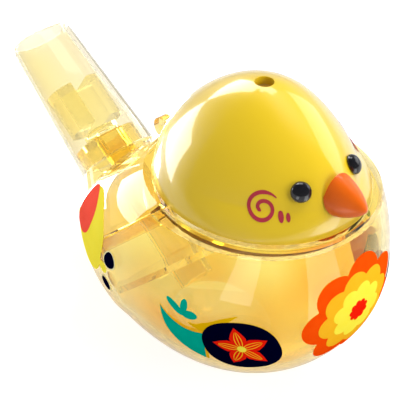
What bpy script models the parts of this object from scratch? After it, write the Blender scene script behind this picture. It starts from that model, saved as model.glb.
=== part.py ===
"""A clear plastic water whistle in the shape of a chick.

The egg-shaped body is two clear mouldings that meet on a slanting seam: the bowl in front and
below, and the rear cap behind, which carries the neck and a cord lug. The mouthpiece is pushed
over the neck's spigot. Breath passes the windway block, crosses the window of the whistle tube
and sounds it, and the tube's lower end dips into the water in the bowl. The opaque head drops
into a seat round the body's rim. Its beak and eyes are plugs pressed into the head.

+X is the way the bird looks, +Z is up, and the flat of the foot lies on z = 0. Lengths are metres.
"""

import math

import bmesh
import bpy
import numpy as np
from mathutils import Matrix, Vector

# Clearances
FIT = 0.0003  # between pieces that are pushed together
OVER = 0.001  # how far a cutter runs past what it cuts

# Body: an egg whose widest level is below the rim, and whose sections change up to the rim's oval
RIM_X = 0.0090
RIM_Z = 0.0480
EGG_X = 0.0007
EGG_Z = 0.02875
EGG_FRONT = 0.0370
EGG_REAR = 0.0393
EGG_HALF_WIDTH = 0.0288
EGG_DEPTH = 0.03005
EGG_POWER = 2.16
EGG_LEAN = 0.067  # rise of the widest level for each metre forward
BACK_POWER = 1.12  # nearly straight slope from the rim down to the mouthpiece
BODY_WALL = 0.0016
FLOOR = 0.0018

# Wing pads: low raised fields on the rear flanks
WING_X = -0.0195
WING_Z = 0.0205
WING_LONG = 0.0165
WING_HIGH = 0.0150
WING_RISE = 0.020  # share by which a section swells there
WING_EDGE = 0.30  # share of the pad that its rounded edge takes

# Seam between bowl and rear cap: a plane through the rim, down and back
SEAM_X = 0.0046
SEAM_PITCH = math.radians(44)
SPIGOT_DEEP = 0.0030
SPIGOT_ROOT = 0.0015
SPIGOT_WALL = 0.0010

# Head
HEAD_LONG = 0.0244  # half length of its oval edge
HEAD_WIDE = 0.0220
HEAD_HIGH = 0.0235
HEAD_WALL = 0.0018
HEAD_RISE_POWER = 1.40
HEAD_ROUND_POWER = 1.70
HEAD_FACE_POWER = 1.60
HEAD_BACK_POWER = 1.99
HEAD_FACE_SWELL = 0.185  # share by which the face is longer half way up
HEAD_SWAY = -0.0015
VENT_RADIUS = 0.0020

# Seat of the head in the rim
LIP = 0.0012
SEAT_DEEP = 0.0020
LEDGE = 0.0018
LEDGE_THICK = 0.0015

# Beak and eyes
BEAK_HALF_WIDTH = 0.0043
BEAK_HALF_HIGH = 0.0045
BEAK_LONG = 0.0065
BEAK_ROOT = 0.0015  # how far its body starts inside the face
BEAK_POWER = 1.49  # 1 is a cone and 2 a half ball
BEAK_LOBE = 0.072  # how far its three rounded corners stand out, as a share
BEAK_ABOVE_RIM = 0.0075
BEAK_PEG_RADIUS = 0.0020
EYE_RADIUS = 0.00215
EYE_HIGH = 0.0016
EYE_Y = 0.0071
EYE_ABOVE_RIM = 0.0095
EYE_PEG_RADIUS = 0.0009
PEG_PAST_WALL = 0.0006

# Mouthpiece: a tapered tube along its own axis, which rises backward
MOUTH_X = -0.0416
MOUTH_Z = 0.0252
MOUTH_PITCH = math.radians(33.6)
MOUTH_LONG = 0.0363
MOUTH_BASE = (0.01005, 0.00785)  # half width, half height
MOUTH_TIP = (0.0080, 0.0056)
MOUTH_WALL = 0.0016
MOUTH_POWER = 2.5
MOUTH_ROUND = 0.0011  # rounded end at the lips

# Neck of the rear cap, and the spigot that the mouthpiece is pushed over
NECK_FLARE = 0.0030  # it widens by this on each side, and keeps its height
NECK_FLARE_LONG = 0.0065
NECK_DEEP = 0.0200
NECK_SPIGOT = 0.0055

# Windway block, measured from the mouthpiece's base
BLOCK_START = 0.0095
BLOCK_LONG = 0.0114
WINDWAY_WIDTH = 0.0045
WINDWAY_FLOOR = 0.0018

# Whistle tube, along the mouthpiece's axis down to the bowl's floor
TUBE_WIDE = 0.0075
TUBE_HIGH = 0.0070
TUBE_WALL = 0.0010
TUBE_POWER = 5.0
TUBE_UP = 0.0082
TUBE_DOWN = 0.0352
WINDOW_START = 0.0012
WINDOW_LONG = 0.0040

# Baffle plate across the bowl, parallel to the seam
BAFFLE_DEEP = 0.0110
BAFFLE_THICK = 0.0014
BAFFLE_HOLE_RADIUS = 0.0022
BAFFLE_HOLE_SPREAD = 0.0100
BAFFLE_HOLE_UP = 0.0050

# Cord lug on the rear cap
LUG_X = -0.0232
LUG_Z = 0.0440
LUG_RADIUS = 0.0025
LUG_THICK = 0.0024
LUG_HOLE_RADIUS = 0.0009

# Facets
AROUND = 48
LEVELS = 11
NEAR_POLE = 0.985  # share of a quarter turn at which the rings stop before a pole

SEAM_DOWN = Vector((-math.cos(SEAM_PITCH), 0, -math.sin(SEAM_PITCH)))
SEAM_OUT = Vector((-math.sin(SEAM_PITCH), 0, math.cos(SEAM_PITCH)))
SEAM_POINT = Vector((SEAM_X, 0, RIM_Z))
MOUTH_OUT = Vector((-math.cos(MOUTH_PITCH), 0, math.sin(MOUTH_PITCH)))
MOUTH_UP = Vector((math.sin(MOUTH_PITCH), 0, math.cos(MOUTH_PITCH)))
MOUTH_POINT = Vector((MOUTH_X, 0, MOUTH_Z))


def signed_power(value, power):
    return np.sign(value) * np.abs(value) ** power


def oval(half_long, half_wide, power=2.0, count=AROUND):
    """Points of a superellipse, anticlockwise from +X, as x and y arrays."""
    turn = np.linspace(0, 2 * math.pi, count, endpoint=False)
    return (
        half_long * signed_power(np.cos(turn), 2 / power),
        half_wide * signed_power(np.sin(turn), 2 / power),
    )


def quarter(share, power):
    """Height of a superelliptic quarter arc, 1 at share 0 and 0 at share 1."""
    return np.clip(1 - share**power, 0, 1) ** (1 / power)


def body_ring(level, inset):
    """One ring of the body: level runs from -1 at the bottom, by 0 where it is widest, to 1 at the rim."""
    low = min(level, 0.0)
    high = max(level, 0.0)
    rim_front = RIM_X + HEAD_LONG + FIT + LIP
    rim_rear = RIM_X - HEAD_LONG - FIT - LIP
    rim_wide = HEAD_WIDE + FIT + LIP
    middle = EGG_X + (RIM_X - EGG_X) * high**2
    front = rim_front + (EGG_X + EGG_FRONT - rim_front) * (1 - high**2) - middle
    rear = middle - rim_rear - (EGG_X - EGG_REAR - rim_rear) * quarter(high, BACK_POWER)
    wide = rim_wide + (EGG_HALF_WIDTH - rim_wide) * (1 - high**2)
    shrink = quarter(-low, EGG_POWER)
    x, y = oval(1, 1, EGG_POWER)
    x = np.where(x > 0, front - inset, rear - inset) * x * shrink
    y = (wide - inset) * y * shrink
    z = EGG_Z + low * (EGG_DEPTH - inset) + high * (RIM_Z - EGG_Z)
    z = z + EGG_LEAN * x * (1 - high**2)
    away = np.hypot((x + middle - WING_X) / WING_LONG, (z - WING_Z) / WING_HIGH)
    pad = np.clip((1 - away) / WING_EDGE, 0, 1)
    swell = 1 + WING_RISE * pad**2 * (3 - 2 * pad) * np.clip(np.abs(y) / EGG_HALF_WIDTH * 2, 0, 1)
    return np.stack([middle + x * swell, y * swell, z], axis=-1)


def head_ring(radius_share, inset):
    """One ring of the head: radius_share is 1 at its edge and 0 on top."""
    rise = (1 - radius_share**HEAD_ROUND_POWER) ** (1 / HEAD_RISE_POWER)
    halfway = 4 * rise * (1 - rise)
    turn = np.linspace(0, 2 * math.pi, AROUND, endpoint=False)
    face = np.cos(turn) > 0
    # The seat is a true oval, so the sections' own powers fade in above the edge.
    power = 2 + (np.where(face, HEAD_FACE_POWER, HEAD_BACK_POWER) - 2) * min(1, 4 * rise)
    longer = np.where(face, 1 + HEAD_FACE_SWELL * halfway, 1)
    x = (HEAD_LONG - inset) * radius_share * longer * signed_power(np.cos(turn), 2 / power)
    y = (HEAD_WIDE - inset) * radius_share * signed_power(np.sin(turn), 2 / power)
    z = RIM_Z + rise * (HEAD_HIGH - inset) + 0 * x
    return np.stack([RIM_X + x + HEAD_SWAY * halfway, y, z], axis=-1)


def mouth_ring(along, half_wide, half_high, power=MOUTH_POWER, count=AROUND):
    """A ring square to the mouthpiece's axis, at a distance outward from the mouthpiece's base."""
    across, up = oval(half_wide, half_high, power, count)
    centre = np.array(MOUTH_POINT + MOUTH_OUT * along)
    return centre + across[:, None] * np.array((0, 1, 0)) + up[:, None] * np.array(MOUTH_UP)


def mouth_size(along, inset):
    """Half width and half height of the mouthpiece there, less an inset."""
    share = along / MOUTH_LONG
    return [base + (tip - base) * share - inset for base, tip in zip(MOUTH_BASE, MOUTH_TIP)]


def mesh_object(name, points, faces):
    mesh = bpy.data.meshes.new(name)
    mesh.from_pydata([tuple(point) for point in points], [], faces)
    shape = bmesh.new()
    shape.from_mesh(mesh)
    bmesh.ops.recalc_face_normals(shape, faces=shape.faces)
    shape.to_mesh(mesh)
    shape.free()
    mesh.shade_smooth()
    mesh.set_sharp_from_angle(angle=math.radians(40))
    obj = bpy.data.objects.new(name, mesh)
    bpy.context.scene.collection.objects.link(obj)
    return obj


def band(first, second, count):
    """Quads between two rings whose points start at the given numbers."""
    steps = range(count)
    return [(first + i, first + (i + 1) % count, second + (i + 1) % count, second + i) for i in steps]


def loft(name, rings):
    """A solid through the rings, closed by a flat face at each end."""
    count = len(rings[0])
    faces = [tuple(range(count)), tuple(range(count * (len(rings) - 1), count * len(rings)))]
    for row in range(len(rings) - 1):
        faces += band(row * count, (row + 1) * count, count)
    return mesh_object(name, np.concatenate(rings), faces)


def tube(name, rings):
    """A solid whose section is the loop of rings: out along its outside and back along its inside."""
    count = len(rings[0])
    faces = []
    for row in range(len(rings)):
        faces += band(row * count, (row + 1) % len(rings) * count, count)
    return mesh_object(name, np.concatenate(rings), faces)


def box(name, size, place):
    points = [(x, y, z) for x in (-0.5, 0.5) for y in (-0.5, 0.5) for z in (-0.5, 0.5)]
    faces = [(0, 1, 3, 2), (4, 6, 7, 5), (0, 4, 5, 1), (2, 3, 7, 6), (0, 2, 6, 4), (1, 5, 7, 3)]
    obj = mesh_object(name, [[p * s for p, s in zip(point, size)] for point in points], faces)
    obj.matrix_world = place
    return obj


def frame_at(point, x_axis, z_axis):
    """A placing matrix with these local X and Z directions."""
    x_axis = Vector(x_axis).normalized()
    z_axis = Vector(z_axis).normalized()
    turned = Matrix((x_axis, z_axis.cross(x_axis), z_axis)).transposed().to_4x4()
    return Matrix.Translation(point) @ turned


def cylinder(name, radius, start, end, count=20):
    """A round rod between two points."""
    along = Vector(end) - Vector(start)
    side = along.cross(Vector((0, 1, 0)))
    side = side.normalized() if side.length > 1e-9 else Vector((1, 0, 0))
    other = along.normalized().cross(side)
    across, up = oval(radius, radius, count=count)
    ring = across[:, None] * np.array(side) + up[:, None] * np.array(other)
    return loft(name, [ring + np.array(start), ring + np.array(end)])


def turned(name, profile, point, direction, count):
    """A solid turned about a direction, from (distance, radius) pairs."""
    direction = Vector(direction).normalized()
    side = direction.cross(Vector((0, 1, 0))).normalized()
    other = direction.cross(side)
    rings = []
    for distance, radius in profile:
        across, up = oval(radius, radius, count=count)
        centre = np.array(Vector(point) + direction * distance)
        rings.append(centre + across[:, None] * np.array(side) + up[:, None] * np.array(other))
    return loft(name, rings)


def combine(obj, other, operation):
    """A live Boolean, whose other shape is left out of the render."""
    other.hide_render = True
    other.display_type = "WIRE"
    modifier = obj.modifiers.new(other.name, "BOOLEAN")
    modifier.operation = operation
    modifier.solver = "EXACT"
    modifier.object = other


def cut(obj, *cutters):
    for cutter in cutters:
        combine(obj, cutter, "DIFFERENCE")


def add(obj, *others):
    for other in others:
        combine(obj, other, "UNION")


def finish(obj, colour, roughness, alpha=1.0, transmission=0.0):
    material = bpy.data.materials.new(obj.name)
    material.use_nodes = True
    shader = material.node_tree.nodes["Principled BSDF"]
    shader.inputs["Base Color"].default_value = (*colour, 1)
    shader.inputs["Roughness"].default_value = roughness
    shader.inputs["Metallic"].default_value = 0
    shader.inputs["Alpha"].default_value = alpha
    shader.inputs["Transmission Weight"].default_value = transmission
    obj.data.materials.append(material)
    return obj


def slab(name, low, high):
    """The space between two planes parallel to the seam, at these heights over it."""
    wide = 3 * EGG_REAR
    centre = SEAM_POINT + SEAM_OUT * (low + high) / 2
    return box(name, (2 * wide, 2 * wide, high - low), frame_at(centre, SEAM_DOWN, SEAM_OUT))


def body_solid(name, inset, bottom, top=1.0):
    """The egg, less an inset, cut flat at a bottom height. Level top is its highest ring."""
    lower = -np.sin(np.linspace(NEAR_POLE, 0, LEVELS) * math.pi / 2)
    upper = np.linspace(0, top, LEVELS)[1:]
    obj = loft(name, [body_ring(level, inset) for level in (*lower, *upper)])
    shape = bmesh.new()
    shape.from_mesh(obj.data)
    parts = shape.verts[:] + shape.edges[:] + shape.faces[:]
    cut_at = (0, 0, bottom)
    bmesh.ops.bisect_plane(shape, geom=parts, plane_co=cut_at, plane_no=(0, 0, -1), clear_outer=True)
    rim = [edge for edge in shape.edges if edge.is_boundary]
    bmesh.ops.edgeloop_fill(shape, edges=rim)
    bmesh.ops.recalc_face_normals(shape, faces=shape.faces)
    shape.to_mesh(obj.data)
    shape.free()
    return obj


def seat_cutter(name):
    """The pocket that the head drops into, with the way through its ledge."""
    low = RIM_Z - SEAT_DEEP - LEDGE_THICK - OVER
    floor = RIM_Z - SEAT_DEEP
    rings = []
    for height, grow in ((low, -LEDGE), (floor, -LEDGE), (floor, FIT), (RIM_Z + OVER, FIT)):
        x, y = oval(HEAD_LONG + grow, HEAD_WIDE + grow)
        rings.append(np.stack([RIM_X + x, y, 0 * x + height], axis=-1))
    return loft(name, rings)


def tube_cutter(name, low, high):
    """The whistle tube's outside and its clearance, along the mouthpiece's axis."""
    half = (TUBE_WIDE / 2 + FIT, TUBE_HIGH / 2 + FIT)
    return loft(name, [mouth_ring(along, *half, TUBE_POWER, 24) for along in (low, high)])


# Levels of the body under the ledge, and under that with its clearance
LEDGE_LEVEL = (RIM_Z - SEAT_DEEP - LEDGE_THICK - EGG_Z) / (RIM_Z - EGG_Z)
STEP_LEVEL = LEDGE_LEVEL - 2 * FIT / (RIM_Z - EGG_Z)


def neck_solid(name):
    """The neck that runs out of the body's rear to the mouthpiece's base, and its flare."""
    wide, high = [half + FIT for half in MOUTH_BASE]
    rings = []
    for share in (0, 0.25, 0.5, 0.75, 1):
        rings.append(mouth_ring(-FIT - NECK_FLARE_LONG * share, wide + NECK_FLARE * share, high))
    rings.append(mouth_ring(-NECK_DEEP, wide + NECK_FLARE, high))
    return loft(name, rings)


def make_bowl():
    bowl = body_solid("bowl", 0, 0)
    add(bowl, neck_solid("bowl_neck"))
    cut(
        bowl,
        body_solid("bowl_hollow", BODY_WALL, FLOOR, LEDGE_LEVEL),
        seat_cutter("bowl_seat"),
        slab("bowl_seam", -FIT / 2, 2 * EGG_REAR),
    )
    return bowl


def make_rear_cap():
    cap = body_solid("rear_cap", 0, 0)
    spigot_size = mouth_size(NECK_SPIGOT, MOUTH_WALL + FIT)
    spigot = loft("cap_spigot", [mouth_ring(along, *spigot_size) for along in (-OVER, NECK_SPIGOT)])
    lug_across = Vector((0, LUG_THICK / 2, 0))
    lug_centre = Vector((LUG_X, 0, LUG_Z))
    lug = cylinder("cap_lug", LUG_RADIUS, lug_centre - lug_across, lug_centre + lug_across, 24)
    step = body_solid("cap_step", BODY_WALL + FIT, FLOOR + FIT, STEP_LEVEL)
    combine(step, slab("cap_step_slab", -SPIGOT_DEEP, SPIGOT_ROOT), "INTERSECT")
    inner = body_solid("cap_inner", BODY_WALL + FIT + SPIGOT_WALL, FLOOR + 2 * FIT, STEP_LEVEL)
    cut(inner, slab("cap_inner_slab", SPIGOT_ROOT, 2 * EGG_REAR))
    hollow = body_solid("cap_hollow", BODY_WALL, FLOOR, LEDGE_LEVEL)
    cut(hollow, slab("cap_hollow_slab", -2 * EGG_REAR, SPIGOT_ROOT - FIT))
    add(cap, neck_solid("cap_neck"))
    cut(cap, seat_cutter("cap_seat"), slab("cap_seam", -2 * EGG_REAR, FIT / 2))
    add(cap, step)
    cut(cap, hollow, inner)
    add(cap, spigot, lug)
    hole_across = lug_across + Vector((0, OVER, 0))
    cut(
        cap,
        tube_cutter("cap_bore", -TUBE_DOWN, NECK_SPIGOT + OVER),
        cylinder("cap_lug_hole", LUG_HOLE_RADIUS, lug_centre - hole_across, lug_centre + hole_across, 12),
    )
    return cap


def make_mouthpiece():
    shoulder = MOUTH_LONG - MOUTH_ROUND
    rings = [mouth_ring(along, *mouth_size(along, 0)) for along in (0, shoulder)]
    # The end is rounded over the thickness of its wall.
    for turn in np.linspace(0, math.pi, 6)[1:-1]:
        inset = MOUTH_WALL / 2 * (1 - math.cos(turn))
        rings.append(mouth_ring(shoulder + MOUTH_ROUND * math.sin(turn), *mouth_size(shoulder, inset)))
    # The bore is straight over the spigot, then it tapers with the outside.
    for along in (shoulder, NECK_SPIGOT):
        rings.append(mouth_ring(along, *mouth_size(along, MOUTH_WALL)))
    rings.append(mouth_ring(0, *mouth_size(NECK_SPIGOT, MOUTH_WALL)))
    return tube("mouthpiece", rings)


def make_windway_block():
    end = BLOCK_START + BLOCK_LONG
    # Its sides are straight, so the bore's far end sets its size.
    size = mouth_size(end, MOUTH_WALL + FIT)
    block = loft("windway_block", [mouth_ring(BLOCK_START, *size), mouth_ring(end, *size)])
    middle = MOUTH_POINT + MOUTH_OUT * (BLOCK_START + BLOCK_LONG / 2)
    high = 2 * size[1]
    place = frame_at(middle + MOUTH_UP * WINDWAY_FLOOR, MOUTH_OUT, MOUTH_UP)
    cut(block, box("windway", (BLOCK_LONG + 2 * OVER, WINDWAY_WIDTH, high), place))
    return block


def make_whistle_tube():
    count = 24
    outer = (TUBE_WIDE / 2, TUBE_HIGH / 2)
    inner = (TUBE_WIDE / 2 - TUBE_WALL, TUBE_HIGH / 2 - TUBE_WALL)
    ends = (TUBE_UP, -TUBE_DOWN)
    rings = [mouth_ring(along, *outer, TUBE_POWER, count) for along in ends]
    rings += [mouth_ring(along, *inner, TUBE_POWER, count) for along in reversed(ends)]
    whistle = tube("whistle_tube", rings)
    # The window is open on top, and its lower edge slopes to the lip that splits the breath.
    top = TUBE_HIGH / 2
    half = TUBE_WIDE / 2 - TUBE_WALL
    start = TUBE_UP - WINDOW_START
    low = top - TUBE_WALL - FIT
    outline = ((start, low), (start, top + OVER), (start - 2 * WINDOW_LONG, top + OVER), (start - WINDOW_LONG, low))
    sides = []
    for across in (-half, half):
        centre = MOUTH_POINT + Vector((0, across, 0))
        sides.append(np.array([centre + MOUTH_OUT * along + MOUTH_UP * up for along, up in outline]))
    cut(whistle, loft("window", sides))
    return whistle


def make_baffle():
    plate = body_solid("baffle_plate", BODY_WALL + FIT, FLOOR + FIT, STEP_LEVEL)
    combine(plate, slab("baffle_slab", -BAFFLE_DEEP - BAFFLE_THICK, -BAFFLE_DEEP), "INTERSECT")
    cutters = [tube_cutter("baffle_bore", -TUBE_DOWN, 0)]
    centre = SEAM_POINT - SEAM_OUT * BAFFLE_DEEP + SEAM_DOWN * EGG_FRONT / 2 - SEAM_DOWN * BAFFLE_HOLE_UP
    reach = SEAM_OUT * (BAFFLE_THICK + OVER)
    for side in (-1, 1):
        point = centre + Vector((0, side * BAFFLE_HOLE_SPREAD, 0))
        name = "baffle_hole_" + ("right" if side < 0 else "left")
        cutters.append(cylinder(name, BAFFLE_HOLE_RADIUS, point - reach, point + reach, 16))
    cut(plate, *cutters)
    return plate


def face_x(half_y, above_rim):
    """How far forward the face is at a side distance and a height over the rim."""
    rings = np.array([head_ring(share, 0) for share in np.linspace(1, 0.05, 160)])
    quarter_rings = rings[rings[:, AROUND // 4, 1] >= half_y, : AROUND // 4 + 1]
    near = [[np.interp(half_y, ring[:, 1], ring[:, axis]) for axis in (0, 2)] for ring in quarter_rings]
    x, z = np.transpose(near)
    return np.interp(RIM_Z + above_rim, z, x)


def face_place(half_y, above_rim):
    """The point and the outward normal of the face there."""
    x = face_x(half_y, above_rim)
    slope_y = (face_x(half_y + OVER, above_rim) - x) / OVER if half_y else 0
    slope_z = (face_x(half_y, above_rim + OVER) - x) / OVER
    return Vector((x, half_y, RIM_Z + above_rim)), Vector((1, -slope_y, -slope_z)).normalized()


def seated(plug, length, peg_radius, point, out):
    """The plug with its back shaped by the head, and with a peg that goes through the head's wall."""
    rings = [head_ring(share, -FIT) for share in np.cos(np.linspace(0, NEAR_POLE, 14) * math.pi / 2)]
    cut(plug, loft(plug.name + "_back", rings))
    peg = ((-HEAD_WALL - PEG_PAST_WALL, peg_radius), (length / 3, peg_radius))
    add(plug, turned(plug.name + "_peg", peg, point, out, 12))
    return plug


def make_beak():
    point, _ = face_place(0, BEAK_ABOVE_RIM)
    out = Vector((1, 0, 0))
    turn = np.linspace(0, 2 * math.pi, 28, endpoint=False)
    lobe = 1 + BEAK_LOBE * np.cos(3 * (turn - math.pi / 2))
    rings = []
    for share in np.sin(np.linspace(0, NEAR_POLE, 10) * math.pi / 2):
        shrink = quarter(share, BEAK_POWER)
        x = point.x - BEAK_ROOT + (BEAK_ROOT + BEAK_LONG) * share + 0 * turn
        y = BEAK_HALF_WIDTH * shrink * lobe * np.cos(turn)
        z = point.z + BEAK_HALF_HIGH * shrink * lobe * np.sin(turn)
        rings.append(np.stack([x, y, z], axis=-1))
    return seated(loft("beak", rings), BEAK_LONG, BEAK_PEG_RADIUS, point, out), point, out


def make_eye(name, side):
    point, out = face_place(EYE_Y, EYE_ABOVE_RIM)
    point.y *= side
    out.y *= side
    profile = [(-HEAD_WALL / 2, EYE_RADIUS)]
    for angle in np.linspace(0, NEAR_POLE * math.pi / 2, 7):
        profile.append((FIT + EYE_HIGH * math.sin(angle), EYE_RADIUS * math.cos(angle)))
    plug = turned(name, profile, point, out, 24)
    return seated(plug, EYE_HIGH, EYE_PEG_RADIUS, point, out), point, out


def make_head(plugs):
    shares = np.cos(np.linspace(0.0, 1.0, 12) * math.pi / 2)
    rings = []
    x, y = oval(HEAD_LONG, HEAD_WIDE)
    rings.append(np.stack([RIM_X + x, y, 0 * x + RIM_Z - SEAT_DEEP + FIT], axis=-1))
    rings += [head_ring(share, 0) for share in shares[:-1]]
    vent = oval(VENT_RADIUS, VENT_RADIUS)
    for inset in (0, HEAD_WALL):
        ring = head_ring(VENT_RADIUS / HEAD_WIDE, inset)
        rings.append(np.stack([RIM_X + vent[0], vent[1], ring[:, 2]], axis=-1))
    rings += [head_ring(share, HEAD_WALL) for share in shares[-2::-1]]
    x, y = oval(HEAD_LONG - HEAD_WALL, HEAD_WIDE - HEAD_WALL)
    rings.append(np.stack([RIM_X + x, y, 0 * x + RIM_Z - SEAT_DEEP + FIT], axis=-1))
    head = tube("head_dome", rings)
    for name, radius, point, out in plugs:
        reach = HEAD_WALL + 2 * OVER
        cut(head, cylinder(name + "_socket", radius + FIT / 2, point - out * reach, point + out * OVER, 16))
    return head


def main():
    for obj in list(bpy.data.objects):
        bpy.data.objects.remove(obj, do_unlink=True)
    amber = (0.86, 0.62, 0.16)
    straw = (0.88, 0.76, 0.42)
    clear = {"roughness": 0.05, "alpha": 0.45, "transmission": 0.8}
    finish(make_bowl(), amber, **clear)
    finish(make_rear_cap(), amber, **clear)
    finish(make_mouthpiece(), straw, **clear)
    finish(make_windway_block(), amber, **clear)
    finish(make_whistle_tube(), amber, **clear)
    finish(make_baffle(), amber, **clear)
    beak, beak_point, beak_out = make_beak()
    finish(beak, (0.78, 0.26, 0.05), 0.3)
    plugs = [("beak", BEAK_PEG_RADIUS, beak_point, beak_out)]
    for name, side in (("eye_left", 1), ("eye_right", -1)):
        eye, point, out = make_eye(name, side)
        finish(eye, (0.01, 0.01, 0.01), 0.1)
        plugs.append((name, EYE_PEG_RADIUS, point, out))
    finish(make_head(plugs), (0.85, 0.68, 0.05), 0.2)


main()
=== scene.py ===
"""Looks of the clear bird whistle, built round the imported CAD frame.

+X is the way the bird looks, +Y its left and +Z up, and the foot lies on z = 0.
Lengths are metres, apart from the prints, which are drawn in millimetres.
"""

import math

import bmesh
import bpy
import numpy as np
from mathutils import Matrix, Vector


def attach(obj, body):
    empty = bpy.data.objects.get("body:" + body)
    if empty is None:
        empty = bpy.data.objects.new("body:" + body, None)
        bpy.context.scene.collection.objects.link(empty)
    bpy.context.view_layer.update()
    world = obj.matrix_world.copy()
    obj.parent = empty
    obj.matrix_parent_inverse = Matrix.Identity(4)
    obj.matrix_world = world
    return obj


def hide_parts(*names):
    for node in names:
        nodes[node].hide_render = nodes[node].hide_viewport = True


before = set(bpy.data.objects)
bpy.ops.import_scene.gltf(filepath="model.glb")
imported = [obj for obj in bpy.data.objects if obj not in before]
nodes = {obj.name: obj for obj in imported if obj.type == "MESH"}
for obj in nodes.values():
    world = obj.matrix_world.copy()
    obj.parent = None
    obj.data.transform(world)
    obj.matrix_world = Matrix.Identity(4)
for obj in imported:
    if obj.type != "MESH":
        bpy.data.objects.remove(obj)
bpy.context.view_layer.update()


class Socket:
    """A number or a colour inside a material, with arithmetic on it."""

    def __init__(self, paint, link):
        self.paint = paint
        self.link = link

    def math(self, operation, *terms):
        slots = dict(enumerate(terms))
        return self.paint.node("Math", {"operation": operation}, slots)

    def __add__(self, other):
        return self.math("ADD", self, other)

    def __radd__(self, other):
        return self.math("ADD", other, self)

    def __sub__(self, other):
        return self.math("SUBTRACT", self, other)

    def __rsub__(self, other):
        return self.math("SUBTRACT", other, self)

    def __mul__(self, other):
        return self.math("MULTIPLY", self, other)

    def __rmul__(self, other):
        return self.math("MULTIPLY", other, self)

    def __gt__(self, other):
        return self.math("GREATER_THAN", self, other)

    def max(self, other):
        return self.math("MAXIMUM", self, other)

    def min(self, other):
        return self.math("MINIMUM", self, other)

    def held(self):
        """The same, kept between 0 and 1."""
        return self.max(0.0).min(1.0)


class Paint:
    """The node tree of a material or of the world."""

    def __init__(self, owner):
        owner.use_nodes = True
        self.owner = owner
        self.tree = owner.node_tree
        self.tree.nodes.clear()

    def node(self, kind, settings=None, inputs=None, output=0):
        made = self.tree.nodes.new("ShaderNode" + kind)
        for name, value in (settings or {}).items():
            setattr(made, name, value)
        for name, value in (inputs or {}).items():
            if isinstance(value, Socket):
                self.tree.links.new(value.link, made.inputs[name])
            else:
                made.inputs[name].default_value = value
        return Socket(self, made.outputs[output])

    def ray(self, name):
        """What Light Path says of the ray, such as Is Glossy Ray."""
        return Socket(self, self.tree.nodes.new("ShaderNodeLightPath").outputs[name])

    def mixed(self, share, first, second):
        """Colour between two colours."""
        inputs = {"Factor": share, 6: first, 7: second}
        return self.node("Mix", {"data_type": "RGBA"}, inputs, 2)

    def ripple(self, scale, detail=2.0):
        """Smooth noise over the object, about 0.5 on average."""
        place = self.node("TexCoord", output=3)
        return self.node("TexNoise", inputs={"Vector": place, "Scale": scale, "Detail": detail})

    def bump(self, height, strength, distance):
        return self.node("Bump", inputs={"Height": height, "Strength": strength, "Distance": distance})

    def done(self, shader, kind="ShaderNodeOutputMaterial"):
        self.tree.links.new(shader.link, self.tree.nodes.new(kind).inputs[0])
        return self.owner


def material(name):
    """The empty node tree of a new material."""
    return Paint(bpy.data.materials.new(name))


def colour(red, green, blue):
    """Linear colour from the eye's 0 to 255 scale."""
    return tuple((value / 255) ** 2.2 for value in (red, green, blue)) + (1.0,)


def painted(obj, paint):
    """The object with this as its only material."""
    obj.data.materials.clear()
    obj.data.materials.append(paint)
    return obj


def placed(name, mesh, *materials):
    """A new object at the origin."""
    obj = bpy.data.objects.new(name, mesh)
    bpy.context.scene.collection.objects.link(obj)
    for each in materials:
        mesh.materials.append(each)
    return obj


def shape(name, points, faces, *materials, sharp=35):
    """An object from points and faces, smooth apart from edges sharper than an angle."""
    mesh = bpy.data.meshes.new(name)
    mesh.from_pydata(np.asarray(points).reshape(-1, 3), [], faces)
    inside_out = bmesh.new()
    inside_out.from_mesh(mesh)
    bmesh.ops.recalc_face_normals(inside_out, faces=inside_out.faces)
    inside_out.to_mesh(mesh)
    inside_out.free()
    mesh.shade_smooth()
    mesh.set_sharp_from_angle(angle=math.radians(sharp))
    return placed(name, mesh, *materials)


def quads(rows, columns, rows_close=False):
    """Faces of a grid of points, whose columns close on themselves."""
    row = np.arange(rows if rows_close else rows - 1)[:, None]
    column = np.arange(columns)[None]
    after = (column + 1) % columns
    below = (row + 1) % rows
    here, under = row * columns, below * columns
    corners = (here + column, here + after, under + after, under + column)
    return np.stack(corners, axis=-1).reshape(-1, 4).tolist()


def loft(name, rings, *materials, sharp=35):
    """A solid through the rings, closed by a flat face at each end."""
    rows, columns = len(rings), len(rings[0])
    ends = [list(range(columns)), list(range(columns * (rows - 1), columns * rows))]
    return shape(name, np.array(rings), quads(rows, columns) + ends, *materials, sharp=sharp)


def tube(name, rings, *materials, sharp=35):
    """A solid whose section is the loop of the rings."""
    rows, columns = len(rings), len(rings[0])
    return shape(name, np.array(rings), quads(rows, columns, True), *materials, sharp=sharp)


def combined(obj, steps, sharp=35):
    """The object after joins and cuts, whose other shapes are then removed."""
    others = [other for _, other in steps]
    for operation, other in steps:
        modifier = obj.modifiers.new(other.name, "BOOLEAN")
        modifier.operation = operation
        modifier.solver = "EXACT"
        modifier.object = other
    bpy.context.view_layer.update()
    whole = obj.evaluated_get(bpy.context.evaluated_depsgraph_get())
    mesh = bpy.data.meshes.new_from_object(whole)
    obj.modifiers.clear()
    obj.data = mesh
    for other in others:
        bpy.data.objects.remove(other)
    mesh.shade_smooth()
    mesh.set_sharp_from_angle(angle=math.radians(sharp))
    return obj


def signed_power(value, power):
    """The value's size to a power, with the value's sign."""
    return np.sign(value) * np.abs(value) ** power


def oval(half_long, half_wide, power, turn):
    """Superellipse |x/a|^n + |y/b|^n = 1, where n = 2 is an ellipse and more is squarer."""
    x = half_long * signed_power(np.cos(turn), 2 / power)
    y = half_wide * signed_power(np.sin(turn), 2 / power)
    return x, y


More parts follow.
